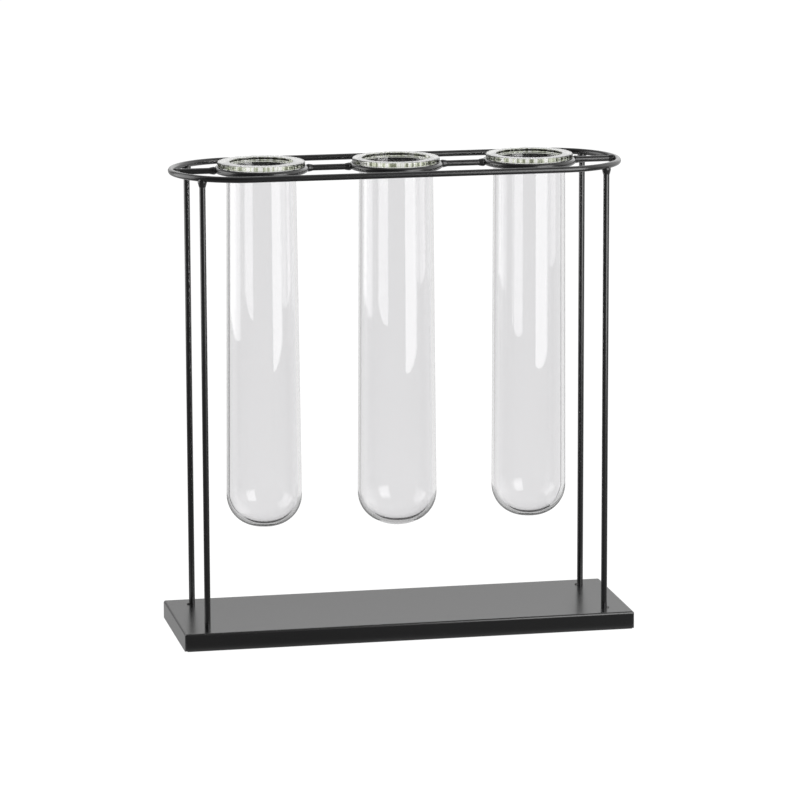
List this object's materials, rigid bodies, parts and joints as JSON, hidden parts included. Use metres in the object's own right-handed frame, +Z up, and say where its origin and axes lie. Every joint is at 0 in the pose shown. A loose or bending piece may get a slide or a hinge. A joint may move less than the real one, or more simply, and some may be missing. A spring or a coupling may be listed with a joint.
{
  "type": "test tube vase",
  "caption": "Test tube vase: round-bottomed clear glass tubes hang by their lips in a welded black wire rack on a folded sheet tray and lift out.",
  "frame": {"origin": "on the floor under the middle of the tray", "axes": "+X along the row of tubes to the right, -Y is the front, +Z up along the tubes"},
  "size_m": [0.3, 0.097, 0.3122],
  "materials": {
    "black_powder_coat": "satin black powder coat",
    "clear_glass": "clear, polished"
  },
  "bodies": {
    "stand": {"base_tray": "black_powder_coat", "top_hoop": "black_powder_coat", "ring_left": "black_powder_coat", "ring_middle": "black_powder_coat", "ring_right": "black_powder_coat", "link_end_left": "black_powder_coat", "link_left_middle": "black_powder_coat", "link_middle_right": "black_powder_coat", "link_end_right": "black_powder_coat", "leg_front_left": "black_powder_coat", "leg_front_right": "black_powder_coat", "leg_back_left": "black_powder_coat", "leg_back_right": "black_powder_coat", "tray_corner_weld_front_left": "black_powder_coat", "tray_corner_weld_front_right": "black_powder_coat", "tray_corner_weld_back_left": "black_powder_coat", "tray_corner_weld_back_right": "black_powder_coat", "link_end_left_left_weld": "black_powder_coat", "link_end_left_right_weld": "black_powder_coat", "link_left_middle_left_weld": "black_powder_coat", "link_left_middle_right_weld": "black_powder_coat", "link_middle_right_left_weld": "black_powder_coat", "link_middle_right_right_weld": "black_powder_coat", "link_end_right_left_weld": "black_powder_coat", "link_end_right_right_weld": "black_powder_coat", "leg_front_left_top_weld": "black_powder_coat", "leg_front_left_foot_weld": "black_powder_coat", "leg_front_right_top_weld": "black_powder_coat", "leg_front_right_foot_weld": "black_powder_coat", "leg_back_left_top_weld": "black_powder_coat", "leg_back_left_foot_weld": "black_powder_coat", "leg_back_right_top_weld": "black_powder_coat", "leg_back_right_foot_weld": "black_powder_coat"},
    "left_tube": {"tube_left": "clear_glass"},
    "middle_tube": {"tube_middle": "clear_glass"},
    "right_tube": {"tube_right": "clear_glass"}
  },
  "joints": [
    {"name": "left_tube_lift", "type": "slide", "parent": "stand", "child": "left_tube", "axis": [0, 0, 1], "range_m": [0, 0.26]},
    {"name": "middle_tube_lift", "type": "slide", "parent": "stand", "child": "middle_tube", "axis": [0, 0, 1], "range_m": [0, 0.26]},
    {"name": "right_tube_lift", "type": "slide", "parent": "stand", "child": "right_tube", "axis": [0, 0, 1], "range_m": [0, 0.26]}
  ]
}
